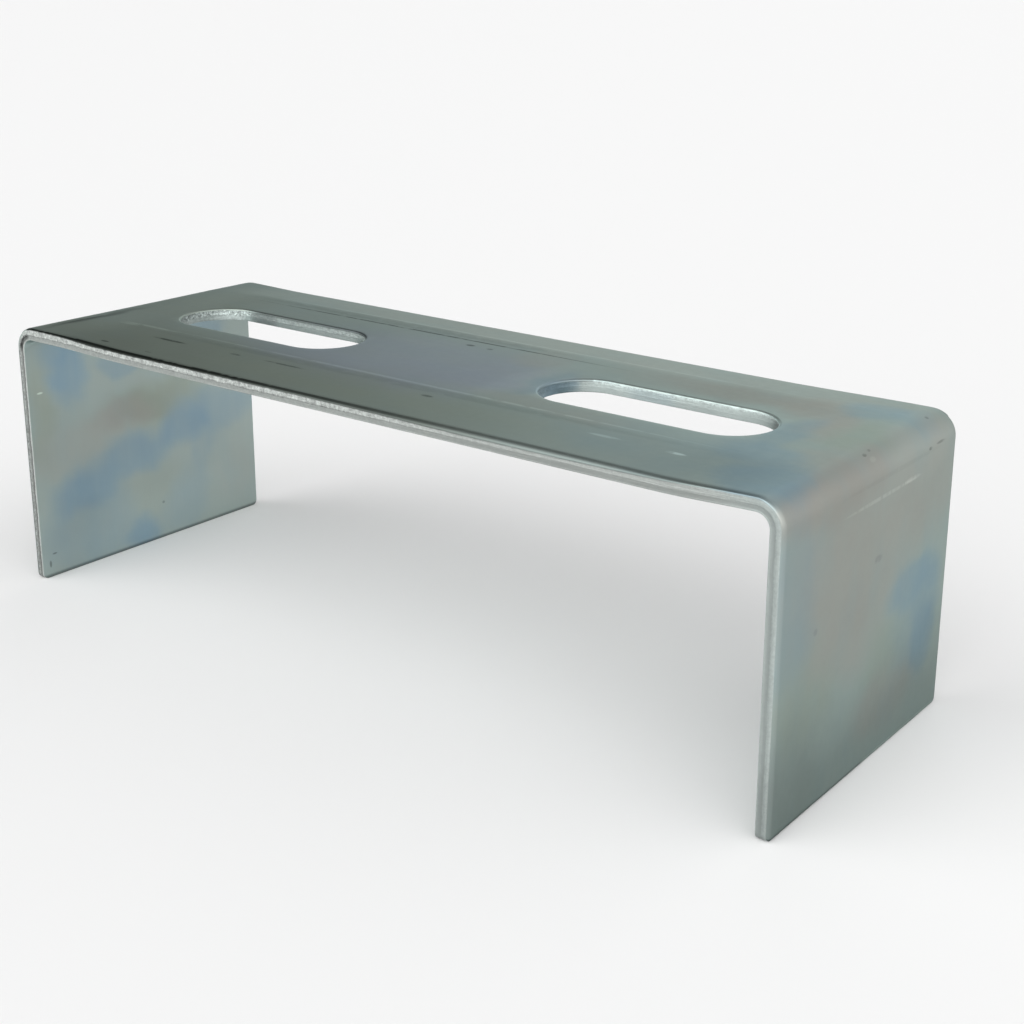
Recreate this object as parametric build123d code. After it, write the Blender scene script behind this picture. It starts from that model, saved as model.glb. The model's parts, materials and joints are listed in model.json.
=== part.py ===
"""A U bracket folded from one punched steel strip, with two long bolt slots in its web.

The web lies level on top and a flange hangs from each of its ends. The origin is on the plane
of the two feet, midway between them: X runs along the web, Y across the strip and Z up.
"""

import os

from build123d import *

# Driving dimensions, in millimetres
length = 145.0  # over the two flanges
strip_width = 50.0  # of the strip that the bracket is folded from
height = 45.0  # from the feet to the top of the web
thickness = 2.0  # of the sheet
inner_bend_radius = 2.0  # inside each fold
slot_width = 13.5  # clears an M12 bolt
slot_length = 37.5  # from end to end
slot_spacing = 76.0  # between the middles of the two slots
corner_radius = 1.0  # at the four corners of the blank
rolled_edge = 0.5  # the rounding that the punch leaves round the outer face

outer_bend_radius = inner_bend_radius + thickness


def folded_strip():
    """The sheet's section, drawn once along its outer face and given its thickness inwards."""
    with BuildPart() as strip:
        with BuildSketch(Plane.XZ):
            with BuildLine():
                FilletPolyline(
                    (-length / 2, 0),
                    (-length / 2, height),
                    (length / 2, height),
                    (length / 2, 0),
                    radius=outer_bend_radius,
                )
                offset(amount=thickness, side=Side.RIGHT)
            make_face()
        extrude(amount=strip_width / 2, both=True)
    return strip.part


def bolt_slots():
    """The two slots that the punch cuts through the web, in line along it."""
    with BuildPart() as slots:
        with BuildSketch(Plane.XY.offset(height)):
            with GridLocations(slot_spacing, 0, 2, 1):
                SlotOverall(slot_length, slot_width)
        extrude(amount=-thickness)
    return slots.part


def foot_corners(bracket):
    """The short edges through the sheet at the two ends of each foot."""
    through_sheet = bracket.edges().filter_by(Axis.X).filter_by(lambda edge: edge.length < 2 * thickness)
    return through_sheet.filter_by(lambda edge: abs(edge.center().Z) < thickness)


def is_outer(face):
    """True for the top of the web, the outsides of the flanges and the outsides of the folds."""
    if face.geom_type == GeomType.CYLINDER:
        return abs(face.radius - outer_bend_radius) < 0.01 and face.center().Z > height / 2
    center = face.center()
    return abs(center.Z - height) < 0.01 or abs(abs(center.X) - length / 2) < 0.01


def outer_rim(bracket):
    """The edges round the outer face and its slots, without the bend lines that cross it."""
    outer_edges = [edge for face in bracket.faces().filter_by(is_outer) for edge in face.edges()]
    return [edge for edge in outer_edges if outer_edges.count(edge) == 1]


def u_bracket():
    bracket = folded_strip() - bolt_slots()
    bracket = fillet(foot_corners(bracket), corner_radius)
    return fillet(outer_rim(bracket), rolled_edge)


os.makedirs("parts", exist_ok=True)
export_step(u_bracket(), "parts/u_bracket.step")
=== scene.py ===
import json
import math

import bmesh
import bpy
from mathutils import Euler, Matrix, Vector, noise


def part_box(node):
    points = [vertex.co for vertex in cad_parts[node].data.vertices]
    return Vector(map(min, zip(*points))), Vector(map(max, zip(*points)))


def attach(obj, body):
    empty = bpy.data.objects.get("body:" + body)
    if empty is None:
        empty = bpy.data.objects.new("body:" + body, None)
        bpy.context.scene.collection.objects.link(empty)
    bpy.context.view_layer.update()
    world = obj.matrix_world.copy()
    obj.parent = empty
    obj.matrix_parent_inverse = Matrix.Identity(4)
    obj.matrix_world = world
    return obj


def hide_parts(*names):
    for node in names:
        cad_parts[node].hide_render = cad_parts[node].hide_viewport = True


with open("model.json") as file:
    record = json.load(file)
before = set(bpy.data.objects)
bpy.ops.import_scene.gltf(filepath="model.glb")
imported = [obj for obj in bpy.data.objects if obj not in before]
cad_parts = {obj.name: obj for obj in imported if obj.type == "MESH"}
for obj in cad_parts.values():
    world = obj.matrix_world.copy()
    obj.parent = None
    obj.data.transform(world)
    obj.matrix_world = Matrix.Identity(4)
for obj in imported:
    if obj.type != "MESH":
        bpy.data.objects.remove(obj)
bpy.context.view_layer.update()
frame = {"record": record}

noise.seed_set(80)  # so that the patches wander the same way each run

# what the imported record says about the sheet, in metres
mounts = {mount["name"]: mount for mount in frame["record"]["mounts"]}
lowCorner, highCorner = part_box("u_bracket")
length = highCorner.x - lowCorner.x
width = highCorner.y - lowCorner.y
height = highCorner.z
thickness = mounts["web_top"]["pos_m"][2] - mounts["web_underside"]["pos_m"][2]
slotSizes = mounts["fixing_slots"]["dims"]
slotRadius = slotSizes["hole_r_mm"] / 1000
slotReach = slotSizes["slot_length_mm"] / 2000 - slotRadius  # from the slot's middle to the centre of its end
slotMiddle = slotSizes["spacing_x_mm"] / 2000

foldRadius = 2 * thickness  # outside each fold
webHalf = length / 2 - foldRadius  # the flat of the web, from its middle
foldLength = foldRadius * math.pi / 2  # round the outside of a fold
flangeLength = height - foldRadius
stripHalf = webHalf + foldLength + flangeLength  # from the middle of the flat strip to its end

plated, cut = 0, 1  # the two finishes, as material slots of the piece

bracket = {
    "cellAlong": 0.0005,  # mesh along the strip
    "cellAcross": 0.00125,  # and across it
    "foldSteps": 16,  # columns of faces round each fold
    "slotMargin": 0.0036,  # how far the fan of faces round a slot reaches
    "slotRings": 2,
    "cornerRadius": 0.001,  # of the feet
    "cornerSteps": 6,
    "rollWidth": 0.00095,  # how far the rolled-over edge reaches in from the cut
    "rollDepth": 0.0004,  # and how far down the cut it comes
    "rollSteps": 7,
    "leftRoll": 1.7,  # how many times as deep it is on the left flange
    "backRoll": 0.45,  # and along the back of the web
    "slotRollWidth": 0.00045,  # the same round the slots
    "slotRollDepth": 0.0003,
    # the front of the web is rolled unevenly: the place along the strip and the depth, in mm
    "frontRoll": [(-71.7, 0.55), (-68.5, 0.15), (-60, 0.23), (-54, 0.42), (-47, 0.36), (-38, 0.31),
                  (-30, 0.3), (-22, 0.32), (-6, 0.36), (6, 0.4), (14, 0.5), (24, 0.64), (40, 0.64),
                  (48, 0.55), (56, 0.4), (62, 0.3), (68.5, 0.27), (71.7, 0.4)],
    "leastRoll": 0.00007,
    "rollWaver": 0.00003,  # how far the front roll wavers in long waves
    "waverScale": 90,
    "rollTear": 0.00008,  # and in short ones, to the left of the middle
    "tearScale": 1100,
    "tearStart": (0.03, -0.01),  # they grow to the left between these places
    "arris": 0.00008,  # rounding of the edges of the inner face
    "wallRows": 9,  # rows of faces down each cut
    "tornBand": (0.0012, 0.0009),  # depths between which a cut turns from sheared to torn
    "tornDents": 0.00005,  # how deep the torn band is dented
    "dentScale": 2500,
    "setBack": 0.00008,  # how far the inner edge of a cut is set back from its middle
    "slotSetBack": 0.2,  # the share of it inside the slots
    "frontSag": 0.00044,  # the front edge of the web hangs lower than its middle
    "frontCrease": -0.0115,  # from this line forward
    "frontLeftEnd": (-0.067, -0.043),  # it starts to hang at the first and hangs in full at the second
    "frontRightEnd": (0.0705, 0.0545),
    "backSag": 0.00055,  # and so does the back edge
    "backCrease": 0.0165,  # from this line back
    "backEase": 0.36,  # the share of that which is lost
    "backEaseEnd": (0.045, 0.067),  # between these places on the way to the right fold
    "leftDroop": 0.00026,  # the web turns down a little before it reaches the left fold
    "leftDroopStart": -0.056,
    "leftDroopEase": 0.85,  # the share of the back's sag that is lost there
    "fullDroop": 0.03,  # how far from the front edge it droops in full, from half of it at the edge
}


def near(value, target):
    return abs(value - target) < 1e-6  # a thousandth of a millimetre


def makeWeb():
    bm = bmesh.new()
    columns = round(2 * webHalf / bracket["cellAlong"])
    rows = round(width / bracket["cellAcross"])
    # a square with sides of 1, drawn out to the flat of the web
    bmesh.ops.create_grid(bm, x_segments=columns, y_segments=rows, size=0.5)
    bmesh.ops.scale(bm, vec=(2 * webHalf, width, 1), verts=bm.verts)
    return bm


def punchSlot(bm, middle):
    # a rectangle of faces goes, and its rim is drawn in to the slot's outline
    reachX = slotReach + slotRadius + bracket["slotMargin"]
    reachY = slotRadius + bracket["slotMargin"]

    def inside(point, slack):
        return abs(point.x - middle) < reachX + slack and abs(point.y) < reachY + slack

    faces = [face for face in bm.faces if inside(face.calc_center_median(), 0)]
    bmesh.ops.delete(bm, geom=faces, context="FACES")
    cell = bracket["cellAlong"]
    rim = [edge for edge in bm.edges if edge.is_boundary and all(inside(v.co, cell) for v in edge.verts)]
    made = bmesh.ops.extrude_edge_only(bm, edges=rim)["geom"]
    innerVerts = [item for item in made if isinstance(item, bmesh.types.BMVert)]
    for vert in innerVerts:
        along = max(-slotReach, min(slotReach, vert.co.x - middle))
        centre = Vector((middle + along, 0, 0))
        vert.co = centre + (vert.co - centre).normalized() * slotRadius
    inner = set(innerVerts)
    spokes = [edge for vert in innerVerts for edge in vert.link_edges if edge.other_vert(vert) not in inner]
    bmesh.ops.subdivide_edges(bm, edges=spokes, cuts=bracket["slotRings"], use_grid_fill=True)


def addLength(bm, side, reach, cells):
    # the strip grows from one end by reach, in cells columns
    endX = max(side * vert.co.x for vert in bm.verts)
    endEdges = [edge for edge in bm.edges if all(near(side * vert.co.x, endX) for vert in edge.verts)]
    made = bmesh.ops.extrude_edge_only(bm, edges=endEdges)["geom"]
    verts = [item for item in made if isinstance(item, bmesh.types.BMVert)]
    bmesh.ops.translate(bm, vec=(side * reach, 0, 0), verts=verts)
    if cells > 1:
        new = set(verts)
        rails = [edge for vert in verts for edge in vert.link_edges if edge.other_vert(vert) not in new]
        bmesh.ops.subdivide_edges(bm, edges=rails, cuts=cells - 1, use_grid_fill=True)


def roundFeet(bm):
    endX = max(vert.co.x for vert in bm.verts)
    corners = [vert for vert in bm.verts if near(abs(vert.co.x), endX) and near(abs(vert.co.y), width / 2)]
    bmesh.ops.bevel(bm, geom=corners, offset=bracket["cornerRadius"], affect="VERTICES",
                    segments=bracket["cornerSteps"], profile=0.5, material=-1)


def thicken(bm):
    # the flat faces look up, and the thickness goes on below them
    rim = [edge for edge in bm.edges if edge.is_boundary]
    bmesh.ops.recalc_face_normals(bm, faces=bm.faces)
    if sum(face.normal.z for face in bm.faces) < 0:
        bmesh.ops.reverse_faces(bm, faces=bm.faces)
    bmesh.ops.solidify(bm, geom=bm.faces[:], thickness=thickness)
    return rim


def softStep(value, start, end):
    # 0 up to the start and 1 from the end on, which may lie on either side of it
    share = max(0, min(1, (value - start) / (end - start)))
    return share * share * (3 - 2 * share)


def ripple(point, scale, seed):
    return noise.noise(Vector(point) * scale + Vector((seed, seed, seed)))


def fromSlot(point):
    # how far a point of the flat strip is from the nearest slot's rim
    along = abs(abs(point.x) - slotMiddle)
    return math.hypot(max(0, along - slotReach), point.y) - slotRadius


def readOff(stops, value):
    # on the straight line between the stops either side of a value
    for (before, first), (after, second) in zip(stops, stops[1:]):
        if value < after:
            return first + (second - first) * max(0, value - before) / (after - before)
    return stops[-1][1]


def rollAt(point):
    # how wide and how deep the edge nearest a point is rolled over
    if fromSlot(point) < bracket["slotMargin"]:
        return bracket["slotRollWidth"], bracket["slotRollDepth"]
    if abs(point.x) > webHalf + foldLength / 2:
        return bracket["rollWidth"], bracket["rollDepth"] * (1 if point.x > 0 else bracket["leftRoll"])
    if point.y > 0:
        return bracket["rollWidth"], bracket["rollDepth"] * bracket["backRoll"]
    along = (point.x, 0, 0)
    waver = bracket["rollWaver"] * ripple(along, bracket["waverScale"], 4.7)
    tear = bracket["rollTear"] * ripple(along, bracket["tearScale"], 1.9)
    tear *= softStep(point.x, *bracket["tearStart"])
    depth = readOff(bracket["frontRoll"], point.x * 1000) / 1000
    return bracket["rollWidth"], max(bracket["leastRoll"], depth + waver + tear)


def rollEdges(bm, rim):
    # the outer rim is rounded, and in the end the rounding is pressed flatter than it is wide
    for edge in rim:
        for face in edge.link_faces:
            if abs(face.normal.z) < 0.5:
                face.material_index = cut
    slotRim = [edge for edge in rim if fromSlot(edge.verts[0].co) < bracket["slotMargin"]]
    outline = [edge for edge in rim if fromSlot(edge.verts[0].co) >= bracket["slotMargin"]]
    for edges, rollWidth in ((outline, bracket["rollWidth"]), (slotRim, bracket["slotRollWidth"])):
        made = bmesh.ops.bevel(bm, geom=edges, offset=rollWidth, affect="EDGES",
                               segments=bracket["rollSteps"], profile=0.5, material=-1)
        for face in made["faces"]:
            face.material_index = plated
    bm.normal_update()
    arris = [edge for edge in bm.edges
             if {face.material_index for face in edge.link_faces} == {plated, cut}
             and all(near(vert.co.z, -thickness) for vert in edge.verts)]
    bmesh.ops.bevel(bm, geom=arris, offset=bracket["arris"], affect="EDGES",
                    segments=2, profile=0.5, material=-1)
    # the cuts get enough rows of faces to be roughened
    upright = [edge for edge in bm.edges
               if all(face.material_index == cut and abs(face.normal.z) < 0.1 for face in edge.link_faces)
               and abs(edge.verts[0].co.z - edge.verts[1].co.z) > thickness / 4]
    bmesh.ops.subdivide_edges(bm, edges=upright, cuts=bracket["wallRows"], use_grid_fill=True)
    for vert in bm.verts:
        depth, (rollWidth, rollDepth) = -vert.co.z, rollAt(vert.co)
        if depth < rollWidth:
            depth *= rollDepth / rollWidth
        else:
            depth = rollDepth + (depth - rollWidth) / (thickness - rollWidth) * (thickness - rollDepth)
        vert.co.z = -depth


def roughenCuts(bm):
    # the upper band of each cut is torn and sparkly, the lower one smoother and set back
    bm.normal_update()
    moves = []
    for vert in bm.verts:
        if not all(face.material_index == cut for face in vert.link_faces):
            continue
        depth = -vert.co.z
        torn = softStep(depth, *bracket["tornBand"])
        rough = 0.5 + 0.5 * ripple(vert.co, bracket["dentScale"], 3.1)
        belowMiddle = 2 * depth / thickness - 1
        share = bracket["slotSetBack"] if fromSlot(vert.co) < bracket["slotMargin"] else 1
        inward = bracket["tornDents"] * torn * rough
        inward += bracket["setBack"] * share * (1 - torn) * belowMiddle
        moves.append((vert, vert.normal * -inward))
    for vert, move in moves:
        vert.co += Vector((move.x, move.y, 0))


def sagWeb(bm):
    # the web hangs a little towards both long edges, and the back edge keeps that into the folds
    for vert in bm.verts:
        along, across = vert.co.x, vert.co.y
        frontEnds = softStep(along, *bracket["frontLeftEnd"]) * softStep(along, *bracket["frontRightEnd"])
        front = (bracket["frontCrease"] - across) / (bracket["frontCrease"] + width / 2)
        intoFold = softStep(abs(along), webHalf + foldLength, webHalf)
        atLeft = softStep(along, bracket["leftDroopStart"], -webHalf)
        backEnds = 1 - bracket["backEase"] * softStep(along, *bracket["backEaseEnd"])
        backEnds *= intoFold * (1 - bracket["leftDroopEase"] * atLeft)
        back = (across - bracket["backCrease"]) / (width / 2 - bracket["backCrease"])
        droop = 0.5 + 0.5 * softStep(across, -width / 2, bracket["fullDroop"] - width / 2)
        vert.co.z -= bracket["frontSag"] * frontEnds * max(0, front)
        vert.co.z -= bracket["backSag"] * backEnds * max(0, back)
        vert.co.z -= bracket["leftDroop"] * atLeft * intoFold * droop


def foldSheet(bm):
    for vert in bm.verts:
        side = math.copysign(1, vert.co.x)
        along = abs(vert.co.x)
        depth = -vert.co.z
        if along <= webHalf:
            vert.co.z = height - depth
            continue
        angle = min((along - webHalf) / foldRadius, math.pi / 2)
        straight = max(0, along - webHalf - foldLength)
        vert.co.x = side * (webHalf + (foldRadius - depth) * math.sin(angle))
        vert.co.z = flangeLength + (foldRadius - depth) * math.cos(angle) - straight


# where the passivate has another colour: the tint, the part of the sheet, the middle and the reach
# of the patch along and across the strip in mm, and how strong it is
film = [
    ("blue", "inner", (-79.5, -16.8), (5.6, 4), 0.85),  # inside the left flange
    ("blue", "inner", (-75, -19), (3, 4), 0.6),
    ("blue", "inner", (-81.5, -6), (2.2, 4), 0.6),
    ("blue", "inner", (-102, -14.5), (3.6, 7), 0.8),
    ("blue", "inner", (-98.3, -3.5), (3.4, 8), 0.75),
    ("blue", "inner", (-95.5, 7.5), (3.4, 5.5), 0.8),
    ("blue", "inner", (-94, 17), (4.5, 9), 0.5),
    ("blue", "inner", (-100, 12), (8, 2.4), 0.35),
    ("blue", "inner", (-108, -14), (9, 9), 0.4),
    ("blue", "inner", (-113.5, -3), (3.2, 4), 0.85),
    ("blue", "inner", (-111, 7), (6, 5), 0.3),
    ("blue", "inner", (-78, 14), (3, 4), 0.6),
    ("tan", "inner", (-94, -17), (5, 9), 0.35),
    ("tan", "inner", (-91, -6), (3, 6), 0.5),
    ("olive", "inner", (-90, 3), (4, 9), 0.9),
    ("olive", "inner", (-106, 0), (5, 6), 0.25),
    ("tan", "inner", (-108, 20), (6, 4), 0.15),
    ("olive", "inner", (-85, -22.5), (10, 2.5), 0.7),
    ("blue", "outer", (93.2, 13.5), (3.2, 7.5), 0.6),  # outside the right flange
    ("blue", "outer", (97.5, 17.5), (6.5, 4.4), 0.55),
    ("blue", "outer", (103.5, 17), (4.6, 3.6), 0.62),
    ("blue", "outer", (101, 13), (5, 5), 0.3),
    ("blue", "outer", (86, -21), (12, 5), 0.25),
    ("tan", "outer", (84, -5), (11, 17), 0.8),
    ("tan", "outer", (80, 16), (7, 10), 0.6),
    ("tan", "outer", (95, -6), (5, 9), 0.5),
    ("tan", "outer", (108, 6), (4, 9), 0.55),
    ("olive", "outer", (99, -18), (6, 8), 0.6),
    ("olive", "outer", (101, 5), (5, 6), 0.5),
    ("tan", "outer", (73.5, -12), (3.6, 16), 0.95),  # over the right fold
    ("tan", "outer", (73.5, 10), (3.6, 16), 0.35),
    ("violet", "outer", (-6, -1), (24, 13), 0.62),  # on top of the web
    ("violet", "outer", (-22, -9), (14, 4), 0.4),
    ("violet", "outer", (4, -6), (12, 6), 0.3),
    ("violet", "outer", (10, -2), (6, 9), 0.35),
    ("blue", "outer", (66, -19), (5.5, 7), 0.75),
    ("blue", "outer", (60, -10), (6, 4), 0.55),
    ("blue", "outer", (50, -15), (15, 8), 0.2),
    ("blue", "outer", (64, 16.5), (5, 3.4), 0.5),
    ("blue", "outer", (69, 17.5), (3.5, 4), 0.25),
    ("blue", "outer", (59.5, 0), (2.6, 8), 0.5),  # round the right slot
    ("blue", "outer", (19, 0), (2.4, 7), 0.5),
    ("olive", "outer", (14.5, -1), (3.4, 9), 0.25),
    ("tan", "outer", (10, 11), (4, 5), 0.4),
    ("tan", "outer", (28, -10), (14, 2.4), 0.4),
    ("tan", "outer", (42, 13), (15, 4), 0.7),
    ("tan", "outer", (15, 21), (62, 5), 0.45),
    ("tan", "outer", (56, 12.5), (6, 4.5), 0.9),
    ("tan", "outer", (62, 7), (3.2, 6), 0.9),
    ("olive", "outer", (67, 4), (4, 7), 0.7),
    ("tan", "outer", (68, -8), (3, 6), 0.5),
    ("olive", "outer", (-35, -19), (45, 9), 0.95),
    ("olive", "outer", (-60, 4), (10, 14), 0.6),
    ("olive", "outer", (12, -20), (22, 7), 0.45),
    ("blue", "cut", (19.3, 1.4), (2.6, 4.6), 0.85),  # inside the near end of the right slot
    ("blue", "cut", (33, 7), (4, 3), 0.2),
]

# where it is darker, or lighter below zero, partly wear and partly painted shade and painted light: the part,
# the middle and the reach as above, and how much
paintedShadeAndWear = [
    ("outer", (117.8, 0), (15, 60), 0.29),  # painted shade, darker towards the right foot
    ("outer", (110, -20), (10, 9), 0.1),
    ("outer", (40, 12), (14, 4), 0.09),
    ("outer", (42, 20), (14, 4), 0.05),
    ("outer", (50, 13), (12, 5), 0.06),
    ("outer", (15, -1), (3, 8), -0.1),
    ("outer", (-10, -2), (10, 12), -0.05),
    ("outer", (60, -18), (7, 6), 0.05),
    ("outer", (-20, -19), (12, 5), -0.04),
    ("outer", (73, -12), (5, 12), 0.04),
    ("outer", (74, 14), (4, 10), -0.06),
    ("outer", (103, -3), (6, 14), -0.07),
    ("outer", (57, -18), (12, 7), 0.07),
    ("outer", (-67, -13), (0.9, 9), 0.55),  # painted shade beside the left fold
    # inside the left flange: painted shade high up under the web, and painted light low down towards the foot
    ("inner", (-78, 20), (6, 8), 0.14),
    ("inner", (-113, 4), (7, 20), -0.13),
    ("inner", (-104, 2), (6, 14), -0.06),
    ("inner", (-110, -17), (6, 7), 0.08),
    ("inner", (-90, -2), (3.4, 9), 0.12),
    ("inner", (-79, -18), (6, 7), -0.08),
    ("cut", (19.3, 1.4), (2.5, 4.4), 0.16),  # the near end of the right slot, in its own shade
    ("cut", (25, 6), (4.4, 3), -0.25),
    ("cut", (41, 6.7), (17, 2), -0.32),
    # painted shade at the far end of the right slot
    ("cut", (55.9, 3.4), (1.7, 2.4), 0.4),
    ("cut", (-52.4, 5.4), (3.2, 3), -0.34),  # the far end of the left slot, bright where it tore
    ("cut", (-56, -2), (1.5, 4), 0.3),
    ("cut", (-47, 6.7), (2.4, 2), 0.26),
    ("cut", (114, -25), (7, 4), 0.16),
]

paint = {
    "tints": ("blue", "tan", "violet", "olive"),  # in the order of the film layer's channels
    "softness": {"blue": 0.9, "tan": 1.1, "violet": 1.1, "olive": 1.1},  # of the patches' rims
    "shadeAndWearSoftness": 1.1,
    "wander": [(0.14, 1.9), (0.5, 0.7)],  # how finely and how far in mm those rims wander
    "fullStrength": 0.95,
    "streakiness": 0.16,
    "slotGlow": 0.1,  # how much lighter the face is at the rims of the slots
    "slotGlowReach": 1.6,
    "darkest": 0.9,
}

# painted shade on the rolled edges where they reflect dark, or painted light below zero, with places in mm
paintedRollShade = {
    "faceDepth": 0.03,  # down to this depth it is still the outer face
    "back": 0.42,
    "backLine": (24.2, 24.7),  # it grows between these places across the strip
    "frontLine": -24,
    "webEnd": webHalf * 1000 + 1,  # a little way into the folds
    "webRight": 0.06,
    "webLeft": 0.9,
    "webFade": (45, -35),  # it goes from the one to the other between these places
    "deepest": 0.3,  # this is added where the front of the web is rolled deepest
    "deepestEnds": [(-12, 12), (64, 54)],
    "deepestDepth": (0.05, 0.3),
    "rightFlange": -0.06,
    "leftFlange": 0.4,
    "leftFlangeStart": -75,
    "leftFold": -0.1,
    "rims": 0.1,  # the near halves of the slots' rims and of the feet
    "rightFar": -0.5,  # the far halves on the right, bright and ragged
    "rightFarStart": 23,
    "raggedScale": 1.3,
    "leftFar": 0.6,  # the far half of the left slot's rim, dark but for its left end
    "leftFarStart": (-51, -47),
}


def strengthAt(spot, drift, middle, reach, softness):
    # one in the middle of a patch, falling softly to nothing round its rim
    along = (spot.x + drift.x - middle[0]) / reach[0]
    across = (spot.y + drift.y - middle[1]) / reach[1]
    return softStep(math.hypot(along, across), 1 + softness / 2, 1 - softness / 2)


def paintedShadeOfFront(spot, depth):
    if abs(spot.x) < paintedRollShade["webEnd"]:
        deepest = softStep(depth, *paintedRollShade["deepestDepth"])
        for end in paintedRollShade["deepestEnds"]:
            deepest *= softStep(spot.x, *end)
        right, left = paintedRollShade["webRight"], paintedRollShade["webLeft"]
        return right + (left - right) * softStep(spot.x, *paintedRollShade["webFade"]) + paintedRollShade["deepest"] * deepest
    if spot.x > 0:
        return paintedRollShade["rightFlange"]
    return paintedRollShade["leftFlange"] if spot.x < paintedRollShade["leftFlangeStart"] else paintedRollShade["leftFold"]


def paintedShadeOfRoll(spot, depth):
    # painted shade on the rolled edges where they reflect dark, darkest along the left of the web's front
    if spot.y > paintedRollShade["backLine"][0]:
        return paintedRollShade["back"] * softStep(spot.y, *paintedRollShade["backLine"])
    if depth < paintedRollShade["faceDepth"]:
        return 0
    if spot.y < paintedRollShade["frontLine"]:
        return paintedShadeOfFront(spot, depth)
    if spot.y <= 0:
        return paintedRollShade["rims"]
    if spot.x > paintedRollShade["rightFarStart"]:
        return paintedRollShade["rightFar"] * (1 + ripple(spot, paintedRollShade["raggedScale"], 6.1))
    if spot.x > 0:
        return paintedRollShade["rims"]
    return paintedRollShade["leftFar"] * softStep(spot.x, *paintedRollShade["leftFarStart"])


def filmAt(spot, side, drift):
    # how much of each tint lies at a spot, where patches of one tint overlap without adding up past 1
    streaky = ripple((spot.x * 0.07, spot.y * 0.6, 0), 1, 2.2)  # drawn out along the strip
    streaky = paint["fullStrength"] + paint["streakiness"] * streaky
    clear = dict.fromkeys(paint["tints"], 1)
    for tint, patchSide, middle, reach, strength in film:
        if patchSide == side:
            here = strengthAt(spot, drift, middle, reach, paint["softness"][tint])
            clear[tint] *= 1 - min(1, strength * here * streaky)
    return [1 - clear[tint] for tint in paint["tints"]]


def shadeAndWearAt(spot, side, drift, depth):
    dark = paintedShadeOfRoll(spot, depth) if side == "outer" else 0
    for patchSide, middle, reach, strength in paintedShadeAndWear:
        if patchSide == side:
            dark += strength * strengthAt(spot, drift, middle, reach, paint["shadeAndWearSoftness"])
    if side == "outer" and depth < paintedRollShade["faceDepth"]:
        dark -= paint["slotGlow"] * softStep(fromSlot(spot / 1000) * 1000, paint["slotGlowReach"], 0)
    return min(dark, paint["darkest"])


def paintSheet(bm):
    # the tints and the painted shade, painted light and wear are kept on the mesh, where the finishes read
    # them
    filmLayer = bm.verts.layers.float_color.new("film")
    shadeAndWearLayer = bm.verts.layers.float.new("paintedShadeAndWear")
    strip = bm.verts.layers.float_vector["strip"]
    for vert in bm.verts:
        spot = vert[strip] * 1000
        depth = -spot.z
        side = "outer" if depth < thickness * 500 else "inner"
        if all(face.material_index == cut for face in vert.link_faces):
            side = "cut"
        drift = sum((noise.noise_vector(spot * scale) * far for scale, far in paint["wander"]), Vector())
        vert[filmLayer] = filmAt(spot, side, drift)
        vert[shadeAndWearLayer] = shadeAndWearAt(spot, side, drift, depth)


def makeBracket():
    bm = makeWeb()
    for middle in (slotMiddle, -slotMiddle):
        punchSlot(bm, middle)
    flangeCells = round((flangeLength - bracket["cellAcross"]) / bracket["cellAlong"])
    # the last column of faces is long enough for the round corners
    for side in (1, -1):
        addLength(bm, side, foldLength, bracket["foldSteps"])
        addLength(bm, side, flangeLength - bracket["cellAcross"], flangeCells)
        addLength(bm, side, bracket["cellAcross"], 1)
    roundFeet(bm)
    rim = thicken(bm)
    rollEdges(bm, rim)
    strip = bm.verts.layers.float_vector.new("strip")
    for vert in bm.verts:
        vert[strip] = vert.co  # its place on the flat strip, for the paint and the finishes
    paintSheet(bm)
    roughenCuts(bm)
    sagWeb(bm)
    foldSheet(bm)
    bmesh.ops.recalc_face_normals(bm, faces=bm.faces)
    mesh = bpy.data.meshes.new("bracketSheet")
    for face in bm.faces:
        face.smooth = True
    print("bracket mesh:", len(bm.faces), "faces, volume", round(bm.calc_volume() * 1e9, 1), "mm3")
    bm.to_mesh(mesh)
    bm.free()
    piece = bpy.data.objects.new("bracket_sheet", mesh)
    bpy.context.scene.collection.objects.link(piece)
    weighted = piece.modifiers.new("flat faces stay flat", "WEIGHTED_NORMAL")
    weighted.keep_sharp = True
    weighted.weight = 50
    return piece


def newMaterial(name):
    material = bpy.data.materials.new(name)
    material.use_nodes = True
    return material, material.node_tree.nodes["Principled BSDF"]


def feed(tree, socket, value):
    # a link where the value comes from a node, and a plain setting where it doesn't
    if isinstance(value, bpy.types.NodeSocket):
        tree.links.new(value, socket)
    else:
        socket.default_value = value


def calc(tree, operation, *values):
    node = tree.nodes.new("ShaderNodeMath")
    node.operation = operation
    for socket, value in zip(node.inputs, values):
        feed(tree, socket, value)
    return node.outputs["Value"]


def between(tree, value, low, high, toLow=0, toHigh=1):
    # a smooth step from one level to the other
    node = tree.nodes.new("ShaderNodeMapRange")
    node.interpolation_type = "SMOOTHSTEP"
    settings = {"Value": value, "From Min": low, "From Max": high, "To Min": toLow, "To Max": toHigh}
    for name, setting in settings.items():
        feed(tree, node.inputs[name], setting)
    return node.outputs["Result"]


def around(tree, value, line, rim, core, amount=1):
    # a soft band round a line: all of the amount within the core, and nothing past the rim
    distance = calc(tree, "ABSOLUTE", calc(tree, "SUBTRACT", value, line))
    return between(tree, distance, rim, core, 0, amount)


def swing(tree, pattern, amount, value):
    # a value goes up and down with a pattern that lies round a half
    return calc(tree, "MULTIPLY_ADD", calc(tree, "SUBTRACT", pattern, 0.5), amount, value)


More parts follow.
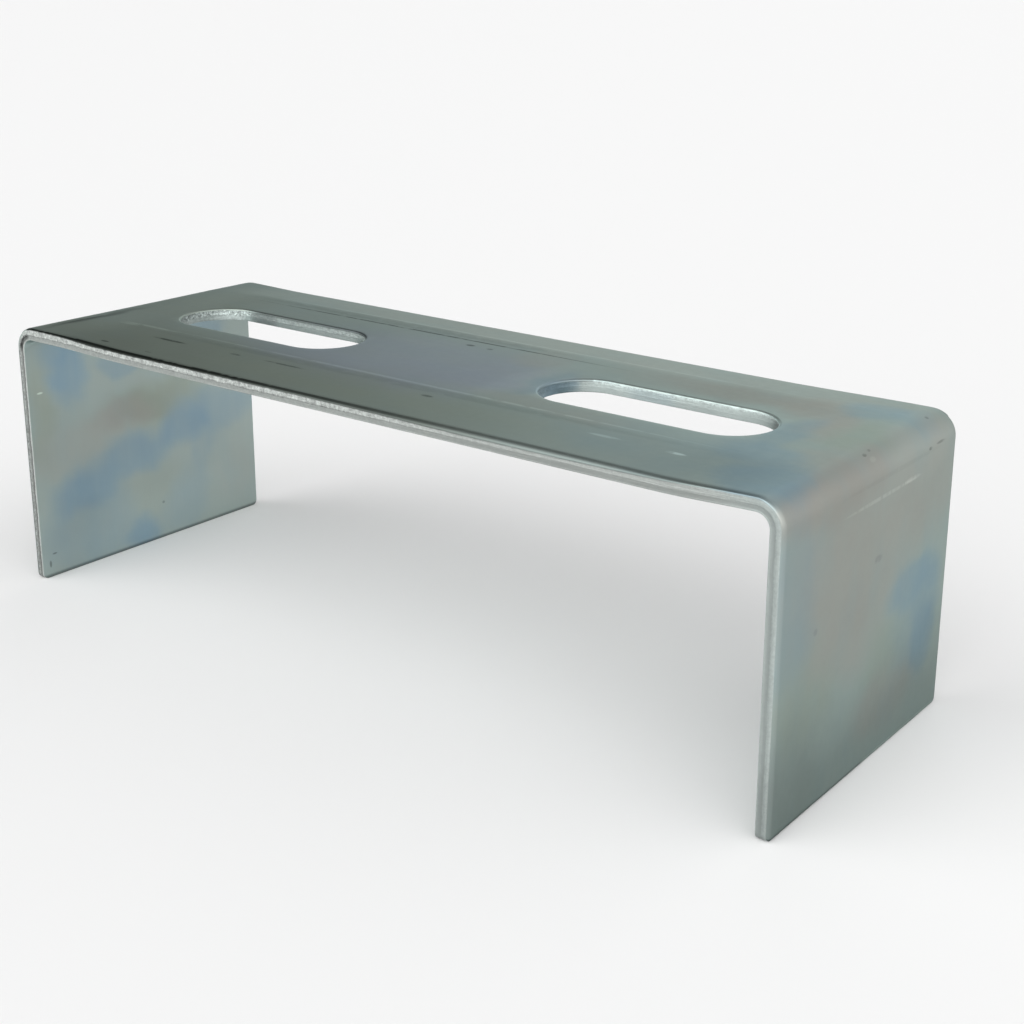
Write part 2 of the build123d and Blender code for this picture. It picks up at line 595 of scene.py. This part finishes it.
def ramp(tree, value, stops):
    # a grey for each place from 0 to 1, straight between the stops
    node = tree.nodes.new("ShaderNodeValToRGB")
    elements = node.color_ramp.elements
    for place, _ in stops[1:-1]:
        elements.new(place)
    for element, (_, grey) in zip(elements, stops):
        element.color = (grey, grey, grey, 1)
    feed(tree, node.inputs["Fac"], value)
    return node.outputs["Color"]


def attributeOf(tree, name):
    node = tree.nodes.new("ShaderNodeAttribute")
    node.attribute_name = name
    return node


def partsOf(tree, vector):
    node = tree.nodes.new("ShaderNodeSeparateXYZ")
    feed(tree, node.inputs[0], vector)
    return node.outputs["X"], node.outputs["Y"], node.outputs["Z"]


def stretched(tree, vector, scale, shift=(0, 0, 0)):
    node = tree.nodes.new("ShaderNodeMapping")
    feed(tree, node.inputs["Vector"], vector)
    node.inputs["Scale"].default_value = scale
    node.inputs["Location"].default_value = shift
    return node.outputs["Vector"]


def grain(tree, vector, scale, detail=2, roughness=0.5):
    node = tree.nodes.new("ShaderNodeTexNoise")
    feed(tree, node.inputs["Vector"], vector)
    node.inputs["Scale"].default_value = scale
    node.inputs["Detail"].default_value = detail
    node.inputs["Roughness"].default_value = roughness
    return node.outputs["Fac"]


def blend(tree, factor, first, second):
    node = tree.nodes.new("ShaderNodeMix")
    node.data_type = "RGBA"
    feed(tree, node.inputs["Factor"], factor)
    feed(tree, node.inputs["A"], first)
    feed(tree, node.inputs["B"], second)
    return node.outputs["Result"]


def scaled(tree, colour, factor):
    node = tree.nodes.new("ShaderNodeVectorMath")
    node.operation = "SCALE"
    feed(tree, node.inputs[0], colour)
    feed(tree, node.inputs["Scale"], factor)
    return node.outputs["Vector"]


def bumped(tree, shader, height, strength, distance):
    node = tree.nodes.new("ShaderNodeBump")
    node.inputs["Strength"].default_value = strength
    node.inputs["Distance"].default_value = distance
    feed(tree, node.inputs["Height"], height)
    tree.links.new(node.outputs["Normal"], shader.inputs["Normal"])


def shadeAndWearOn(tree, tone):
    # the painted shade and wear kept on the mesh darken the tone, and painted light lightens it
    return calc(tree, "MULTIPLY", tone, calc(tree, "SUBTRACT", 1, attributeOf(tree, "paintedShadeAndWear").outputs["Fac"]))


zinc = {
    "grey": (0.325, 0.385, 0.368, 1),
    "blue": (0.218, 0.315, 0.382, 1),
    "tan": (0.352, 0.345, 0.318, 1),
    "violet": (0.305, 0.33, 0.412, 1),
    "olive": (0.305, 0.345, 0.295, 1),
    "hueStretch": (0.5, 1, 1),
    "hueScale": 190,
    "hueSwing": 0.4,  # how far blue and tan drift against each other
    "innerPaintedLight": 1.12,  # painted light: the inside is a little lighter, where light reaches it under the web
    "edgeTint": (0.68, 0.77, 0.74, 1),  # what is kept of the glare at a flat angle
    "footLine": (0.0008, 0.0002),  # a line of painted shade comes up between these distances from the feet
    "footShade": -0.62,
    "roughness": 0.4,
    "roughnessSwing": 0.1,
    "cloudScale": 70,
    "cloudSwing": 0.13,
    "mottleScale": 900,
    "mottleSwing": 0.03,
    "streakScale": (45, 2400, 1),  # drawn out along the strip
    "streakSwing": 0.07,
    "gapScale": (420, 900, 1),  # of the gaps that break up the marks below
    "gapRange": (0.34, 0.5),
    "leftInGaps": 0.25,
    "bumpStrength": 0.12,
    "bumpDepth": 0.00001,
}

# handling and rolling marks, and painted highlights and shade along the creases and the left fold:
# how much lighter, or darker below zero, then the middle and the reach along and across the strip in mm
outerMarksAndCreaseShading = [
    (0.18, (0, 17.4), (66, 0.45)),  # painted highlight along the back crease
    (-0.20, (-22, 15.6), (42, 1.8)),
    (-0.66, (-16, 13.6), (46, 0.4)),
    (0.28, (0, -11.6), (66, 0.45)),  # painted highlight along the front crease
    # painted highlights on the front crease towards the left
    (0.36, (-54, -11.9), (8, 0.5)),
    (0.30, (-58.5, -12.6), (3, 0.5)),
    (-0.45, (-67.3, -14), (0.35, 7)),  # painted shade beside the left fold
    # painted shade just in front of the front crease
    (-0.12, (0, -13.2), (64, 1.2)),
    (-0.70, (-44.5, -16), (4.6, 0.5)),
    (-0.60, (-29.5, -15.9), (1.6, 0.4)),
    (-0.50, (-19, -15.7), (5.4, 0.4)),
    (-0.50, (9.5, -15.6), (1.4, 0.5)),
    (0.70, (52, -16.5), (1.8, 0.5)),
    (0.35, (40.5, -16), (3.2, 0.5)),
    (-0.60, (-4.3, 11), (1.1, 0.6)),
    (-0.45, (-0.3, 10.9), (0.8, 0.5)),
    (-0.60, (-52.5, -22.5), (1.2, 0.4)),
    (-0.45, (-42, -22.6), (1, 0.3)),
    (-0.35, (70.8, -0.9), (0.35, 0.6)),  # pits and fine cracks over the right fold
    (-0.30, (70.5, 0.8), (0.3, 0.5)),
    (0.10, (71.8, 0.1), (0.5, 1)),
    (-0.30, (70.2, 19.4), (0.4, 0.5)),
    (-0.35, (74.4, 16.1), (0.3, 0.7)),
    (-0.30, (74.2, 19.5), (0.25, 1.8)),
    (-0.05, (74.8, 6), (0.45, 18)),
    (0.20, (77.4, 2), (0.35, 13)),
    (0.20, (77.3, 10.5), (0.45, 3.2)),
    (-0.15, (86, 1.6), (0.7, 1.4)),
    (-0.12, (90.5, -15.5), (0.6, 0.7)),
]
innerMarks = [
    (0.80, (-82.8, -22.7), (0.22, 0.75)),
    (0.40, (-72.8, -23.2), (0.25, 0.9)),
    (-0.50, (-113.4, -23.4), (0.8, 0.3)),
    (-0.50, (-111.7, -22.4), (0.2, 0.6)),
    (-0.35, (-109, 2), (0.35, 0.4)),
]


def marksOn(tree, strip, marks):
    # each mark is a soft ellipse
    total = None
    for tone, middle, reach in marks:
        scale = (1000 / reach[0], 1000 / reach[1], 0)
        place = stretched(tree, strip, scale, (-middle[0] / reach[0], -middle[1] / reach[1], 0))
        node = tree.nodes.new("ShaderNodeVectorMath")
        node.operation = "LENGTH"
        feed(tree, node.inputs[0], place)
        shape = between(tree, node.outputs["Value"], 1, 0.5, 0, tone)
        total = shape if total is None else calc(tree, "ADD", total, shape)
    return total


def zincColour(tree, strip):
    filmNode = attributeOf(tree, "film")
    blue, tan, violet = partsOf(tree, filmNode.outputs["Color"])
    drift = grain(tree, stretched(tree, strip, zinc["hueStretch"]), zinc["hueScale"], 3)
    colour = blend(tree, filmNode.outputs["Alpha"], zinc["grey"], zinc["olive"])
    colour = blend(tree, violet, colour, zinc["violet"])
    colour = blend(tree, swing(tree, drift, -zinc["hueSwing"], tan), colour, zinc["tan"])
    return blend(tree, swing(tree, drift, zinc["hueSwing"], blue), colour, zinc["blue"])


def platedMaterial():
    material, shader = newMaterial("zincPlate")
    tree = material.node_tree
    strip = attributeOf(tree, "strip").outputs["Vector"]
    along, _, level = partsOf(tree, strip)
    outer = between(tree, level, -0.6 * thickness, -0.4 * thickness)
    inner = calc(tree, "SUBTRACT", 1, outer)
    place = tree.nodes.new("ShaderNodeTexCoord").outputs["Object"]
    cloud = grain(tree, place, zinc["cloudScale"], 3)
    mottle = grain(tree, place, zinc["mottleScale"], 3)
    streak = grain(tree, stretched(tree, strip, zinc["streakScale"]), 1, 3)
    # the marks on the outer face are broken up by gaps
    gaps = grain(tree, stretched(tree, strip, zinc["gapScale"]), 1, 3)
    broken = between(tree, gaps, *zinc["gapRange"], zinc["leftInGaps"], 1)
    onOuter = calc(tree, "MULTIPLY", marksOn(tree, strip, outerMarksAndCreaseShading), calc(tree, "MULTIPLY", broken, outer))
    onInner = calc(tree, "MULTIPLY", marksOn(tree, strip, innerMarks), inner)
    fromFoot = calc(tree, "SUBTRACT", stripHalf, calc(tree, "ABSOLUTE", along))
    footLine = between(tree, fromFoot, *zinc["footLine"], 0, zinc["footShade"])
    tone = between(tree, outer, 0, 1, zinc["innerPaintedLight"], 1)
    for part in (onOuter, onInner, footLine):
        tone = calc(tree, "ADD", tone, part)
    for pattern, amount in ((cloud, "cloudSwing"), (mottle, "mottleSwing"), (streak, "streakSwing")):
        tone = swing(tree, pattern, zinc[amount], tone)
    feed(tree, shader.inputs["Base Color"], scaled(tree, zincColour(tree, strip), shadeAndWearOn(tree, tone)))
    shader.inputs["Metallic"].default_value = 1
    shader.inputs["Specular Tint"].default_value = zinc["edgeTint"]
    rough = swing(tree, streak, zinc["roughnessSwing"], zinc["roughness"])
    rough = swing(tree, mottle, zinc["roughnessSwing"], rough)
    feed(tree, shader.inputs["Roughness"], rough)
    bumped(tree, shader, calc(tree, "ADD", streak, mottle), zinc["bumpStrength"], zinc["bumpDepth"])
    return material


cutEdge = {
    "torn": (0.44, 0.467, 0.45, 1),  # the upper part, where the sheet broke
    "sheared": (0.345, 0.37, 0.355, 1),  # the lower part
    "platedCut": (0.34, 0.395, 0.385, 1),  # where more of the plating is left on the cut
    "platedInSlots": 0.7,  # how much of that colour there is inside the slots
    "platedOnRight": 0.55,  # and on the right flange
    "blue": (0.23, 0.33, 0.39, 1),
    "inSlot": (0.016, 0.012),  # a cut belongs to a slot within these distances from the strip's middle
    "onLeft": (-0.0715, -0.0735),  # where the left flange's front begins, along the strip
    "onRight": (0.06, 0.07),
    "tearLine": 0.00118,  # how far down the cut the torn part turns into the sheared one
    "tearBlur": 0.00012,
    "wanderScale": 700,
    "wander": 0.0004,  # how far that line and the bands below go up and down
    "groove": (0.00016, 0, -0.26),  # a line of painted shade in the groove between the two parts: rim, core and shade
    "grainScale": 2300,
    "grainSwing": 2.4,
    "shearedGrain": 0.3,  # the share of it on the sheared part
    "slotGrain": 0.6,  # and in the slots
    "coarse": (0.035, -0.01, 0.2, 1),  # the tearing is soft on the right and coarse on the left
    "chipped": (-0.048, -0.052, 0, 1.6),  # and coarsest at the far end of the left slot
    "rightShade": (0, 0.03, 0, -0.09),  # the right half is a little darker
    "lineScale": (160, 160, 5200),  # drawn out along the edge
    "lineSwing": 0.25,
    # the right slot tore bright along its upper rim, raggedly
    "rimDepth": (0.0008, 0.0005, 0, 0.3),
    "rimStart": (0.0225, 0.0245),
    "rimRagged": (0.4, 0.56, 0.1, 1),
    # painted shade where the left fold has opened a little between its skins: line, rim and core along it and
    # then by depth
    "openFold": (-0.0722, 0.0034, 0.002),
    "openSkins": (0.00125, 0.00055, 0.00025),
    "openShade": -0.62,
    # how light the fronts of the two flanges are, from the outer face inwards, by depth in mm: partly their
    # torn and sheared finish, partly painted shade on the roll and in the groove and painted highlight along
    # the arris
    "leftFront": [(0, 0.45), (0.55, 0.56), (0.8, 0.76), (1.3, 0.72), (1.42, 0.32), (1.56, 0.34),
                  (1.68, 1.2), (2, 1.1)],
    "rightFront": [(0, 1.05), (0.3, 1.18), (0.5, 1.24), (0.8, 1.1), (1.1, 0.94), (1.35, 0.88),
                   (1.6, 0.98), (2, 1.18)],
    "roughness": 0.45,
    "tornRoughness": 0.12,  # this is added where it is torn
    "bumpStrength": 0.8,
    "bumpDepth": 0.00006,
}


def bands(tree, depth, stops):
    # a grey for each depth below the outer face
    shares = [(level / (thickness * 1000), grey) for level, grey in stops]
    return ramp(tree, calc(tree, "DIVIDE", depth, thickness), shares)


def tornTone(tree, along, depth, torn, inSlot, coarse, sparkle, lines):
    # how light each spot of a cut is, before the painted shade and wear
    chips = calc(tree, "MULTIPLY_ADD", between(tree, along, *cutEdge["chipped"]), inSlot, coarse)
    sheared, slot = cutEdge["shearedGrain"], cutEdge["slotGrain"]
    share = calc(tree, "MULTIPLY_ADD", torn, 1 - sheared, sheared)
    share = calc(tree, "MULTIPLY", share, calc(tree, "MULTIPLY_ADD", inSlot, slot - 1, 1))
    share = calc(tree, "MULTIPLY", share, calc(tree, "MULTIPLY", chips, cutEdge["grainSwing"]))
    tone = swing(tree, sparkle, share, 1)
    tone = swing(tree, lines, cutEdge["lineSwing"], tone)
    tone = calc(tree, "ADD", tone, between(tree, along, *cutEdge["rightShade"]))
    groove = calc(tree, "MULTIPLY", around(tree, depth, cutEdge["tearLine"], *cutEdge["groove"]), coarse)
    tone = calc(tree, "MULTIPLY_ADD", groove, calc(tree, "SUBTRACT", 1, inSlot), tone)
    brightRim = inSlot
    for value, steps in ((depth, "rimDepth"), (along, "rimStart"), (sparkle, "rimRagged")):
        brightRim = calc(tree, "MULTIPLY", brightRim, between(tree, value, *cutEdge[steps]))
    tone = calc(tree, "ADD", tone, brightRim)
    openFold = around(tree, along, *cutEdge["openFold"], cutEdge["openShade"])
    return calc(tree, "MULTIPLY_ADD", openFold, around(tree, depth, *cutEdge["openSkins"]), tone)


def cutMaterial():
    material, shader = newMaterial("cutEdge")
    tree = material.node_tree
    strip = attributeOf(tree, "strip").outputs["Vector"]
    along, across, level = partsOf(tree, strip)
    place = tree.nodes.new("ShaderNodeTexCoord").outputs["Object"]
    sparkle = grain(tree, place, cutEdge["grainScale"], 3, 0.75)
    lines = grain(tree, stretched(tree, strip, cutEdge["lineScale"]), 1, 3)
    wander = grain(tree, place, cutEdge["wanderScale"], 4, 0.6)
    depth = swing(tree, wander, cutEdge["wander"], calc(tree, "MULTIPLY", level, -1))
    fromTear = calc(tree, "SUBTRACT", depth, cutEdge["tearLine"])
    torn = between(tree, fromTear, cutEdge["tearBlur"], -cutEdge["tearBlur"])
    inSlot = around(tree, across, 0, *cutEdge["inSlot"])
    coarse = between(tree, along, *cutEdge["coarse"])
    tone = shadeAndWearOn(tree, tornTone(tree, along, depth, torn, inSlot, coarse, sparkle, lines))
    # on the fronts of the flanges the bands lie otherwise
    onLeft = between(tree, along, *cutEdge["onLeft"])
    onRight = between(tree, along, *cutEdge["onRight"])
    onFlange = calc(tree, "ADD", onLeft, onRight)
    flange = calc(tree, "MULTIPLY", onLeft, bands(tree, depth, cutEdge["leftFront"]))
    flange = calc(tree, "MULTIPLY_ADD", onRight, bands(tree, depth, cutEdge["rightFront"]), flange)
    flange = calc(tree, "ADD", flange, calc(tree, "SUBTRACT", 1, onFlange))
    colour = blend(tree, calc(tree, "MAXIMUM", torn, onFlange), cutEdge["sheared"], cutEdge["torn"])
    inSlots = calc(tree, "MULTIPLY", inSlot, cutEdge["platedInSlots"])
    atRight = calc(tree, "MULTIPLY", onRight, cutEdge["platedOnRight"])
    colour = blend(tree, calc(tree, "MAXIMUM", inSlots, atRight), colour, cutEdge["platedCut"])
    blue = partsOf(tree, attributeOf(tree, "film").outputs["Color"])[0]
    colour = blend(tree, blue, colour, cutEdge["blue"])
    feed(tree, shader.inputs["Base Color"], scaled(tree, colour, calc(tree, "MULTIPLY", tone, flange)))
    shader.inputs["Metallic"].default_value = 1
    rough = calc(tree, "MULTIPLY_ADD", torn, cutEdge["tornRoughness"], cutEdge["roughness"])
    feed(tree, shader.inputs["Roughness"], rough)
    relief = calc(tree, "MULTIPLY_ADD", calc(tree, "MULTIPLY", sparkle, torn), coarse, lines)
    bumped(tree, shader, relief, cutEdge["bumpStrength"], cutEdge["bumpDepth"])
    return material


piece = makeBracket()
piece.data.materials.append(platedMaterial())
piece.data.materials.append(cutMaterial())
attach(piece, "root")
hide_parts("u_bracket")
print("bracket done")


# floor, light and camera
studio = {
    "floorRadius": 6,
    "floorColour": (0.85, 0.85, 0.85, 1),
    "floorRoughness": 0.9,
    "light": 1.67,  # the brightest level of the room's walls
    # how light the walls are, by the sine of the elevation
    "walls": [(0, 0.92), (0.34, 1), (0.5, 1), (0.71, 0.86), (0.87, 0.56), (0.97, 0.25), (1, 0.11)],
    # azimuth from +X towards +Y, elevation, inner and outer radius, in degrees, and strength
    "frontGlow": (268, 29, 0, 80, 0.56),
    "backShade": (75, 22, 0, 70, -0.5),
    "darkCard": (160, 34, 16, 51, -0.93),
}

view = {
    "place": (0.15678, -0.18489, 0.10766),
    "turn": (73.214, -0.606, 36.103),  # in degrees
    "lens": 57.351,
    "sensor": 36,
    "shift": (-0.0536, -0.0815),
    "clip": (0.01, 50),
}


def makeFloor():
    bm = bmesh.new()
    bmesh.ops.create_circle(bm, cap_ends=True, segments=64, radius=studio["floorRadius"])
    bmesh.ops.translate(bm, vec=(0, 0, lowCorner.z), verts=bm.verts)
    mesh = bpy.data.meshes.new("floor")
    bm.to_mesh(mesh)
    bm.free()
    floor = bpy.data.objects.new("floor", mesh)
    bpy.context.scene.collection.objects.link(floor)
    material, shader = newMaterial("floorPaint")
    shader.inputs["Base Color"].default_value = studio["floorColour"]
    shader.inputs["Roughness"].default_value = studio["floorRoughness"]
    floor.data.materials.append(material)


def patchOfSky(tree, way, setting):
    # a soft round patch of light or dark round one direction
    azimuth, elevation, inner, outer, strength = setting
    node = tree.nodes.new("ShaderNodeVectorMath")
    node.operation = "DOT_PRODUCT"
    feed(tree, node.inputs[0], way)
    turn, rise = math.radians(azimuth), math.radians(elevation)
    flat = math.cos(rise)
    node.inputs[1].default_value = (flat * math.cos(turn), flat * math.sin(turn), math.sin(rise))
    angle = calc(tree, "ARCCOSINE", node.outputs["Value"])
    return between(tree, angle, math.radians(outer), math.radians(inner), 0, strength)


def makeWorld():
    world = bpy.data.worlds.new("studio")
    bpy.context.scene.world = world
    world.use_nodes = True
    tree = world.node_tree
    way = tree.nodes.new("ShaderNodeTexCoord").outputs["Generated"]
    light = ramp(tree, partsOf(tree, way)[2], studio["walls"])
    for patch in ("frontGlow", "backShade"):
        light = calc(tree, "ADD", light, patchOfSky(tree, way, studio[patch]))
    light = calc(tree, "MULTIPLY", light, calc(tree, "ADD", 1, patchOfSky(tree, way, studio["darkCard"])))
    background = tree.nodes["Background"]
    feed(tree, background.inputs["Color"], light)
    background.inputs["Strength"].default_value = studio["light"]


def addCamera():
    data = bpy.data.cameras.new("camera")
    camera = bpy.data.objects.new("camera", data)
    bpy.context.scene.collection.objects.link(camera)
    camera.location = view["place"]
    camera.rotation_euler = Euler([math.radians(turn) for turn in view["turn"]], "XYZ")
    data.lens = view["lens"]
    data.sensor_width = view["sensor"]
    data.shift_x, data.shift_y = view["shift"]
    data.clip_start, data.clip_end = view["clip"]
    bpy.context.scene.camera = camera


makeFloor()
makeWorld()
addCamera()
bpy.context.scene.view_settings.view_transform = "Standard"
print("studio done")
